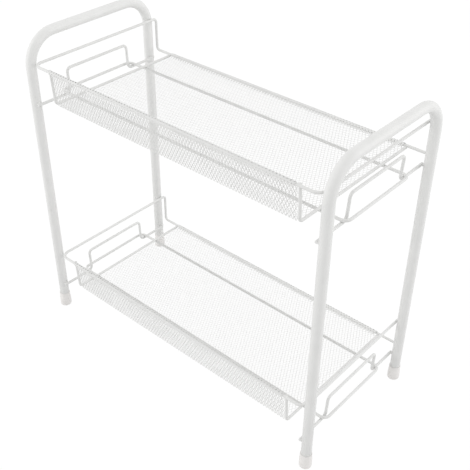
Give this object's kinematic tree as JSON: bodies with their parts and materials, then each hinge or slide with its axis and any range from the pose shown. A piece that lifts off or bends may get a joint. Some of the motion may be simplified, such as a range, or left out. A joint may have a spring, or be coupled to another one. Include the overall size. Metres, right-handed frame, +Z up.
{
  "type": "countertop organizer shelf",
  "caption": "Freestanding tiered counter shelf: bent-tube end frames carry lift-off wire and expanded-mesh trays with a raised front wall and open, guarded ends.",
  "frame": {"origin": "on the surface the shelf stands on, below the middle of its overall width and depth", "axes": "+X along the shelf to its right end, +Y from its front to its back, +Z up"},
  "size_m": [0.4524, 0.2097, 0.4117],
  "materials": {
    "tube_coat": "satin white powder coat on bent steel tube",
    "wire_coat": "satin white powder coat on steel wire",
    "mesh_coat": "satin white powder coat on expanded steel mesh",
    "foot_plastic": "matte off-white moulded plastic"
  },
  "bodies": {
    "end_frames": {"left_end_tube": "tube_coat", "right_end_tube": "tube_coat", "left_front_foot_cap": "foot_plastic", "left_rear_foot_cap": "foot_plastic", "right_front_foot_cap": "foot_plastic", "right_rear_foot_cap": "foot_plastic", "lower_left_support_wire": "wire_coat", "lower_right_support_wire": "wire_coat", "upper_left_support_wire": "wire_coat", "upper_right_support_wire": "wire_coat"},
    "lower_tray": {"lower_rim_wire": "wire_coat", "lower_hook_frame": "wire_coat", "lower_left_end_wire": "wire_coat", "lower_right_end_wire": "wire_coat", "lower_floor_mesh": "mesh_coat", "lower_front_mesh": "mesh_coat"},
    "upper_tray": {"upper_rim_wire": "wire_coat", "upper_hook_frame": "wire_coat", "upper_left_end_wire": "wire_coat", "upper_right_end_wire": "wire_coat", "upper_floor_mesh": "mesh_coat", "upper_front_mesh": "mesh_coat"}
  },
  "joints": [
    {"name": "lower_tray_lift", "type": "slide", "parent": "end_frames", "child": "lower_tray", "axis": [0, 0, 1], "range_m": [0, 0.04]},
    {"name": "upper_tray_lift", "type": "slide", "parent": "end_frames", "child": "upper_tray", "axis": [0, 0, 1], "range_m": [0, 0.04]}
  ]
}
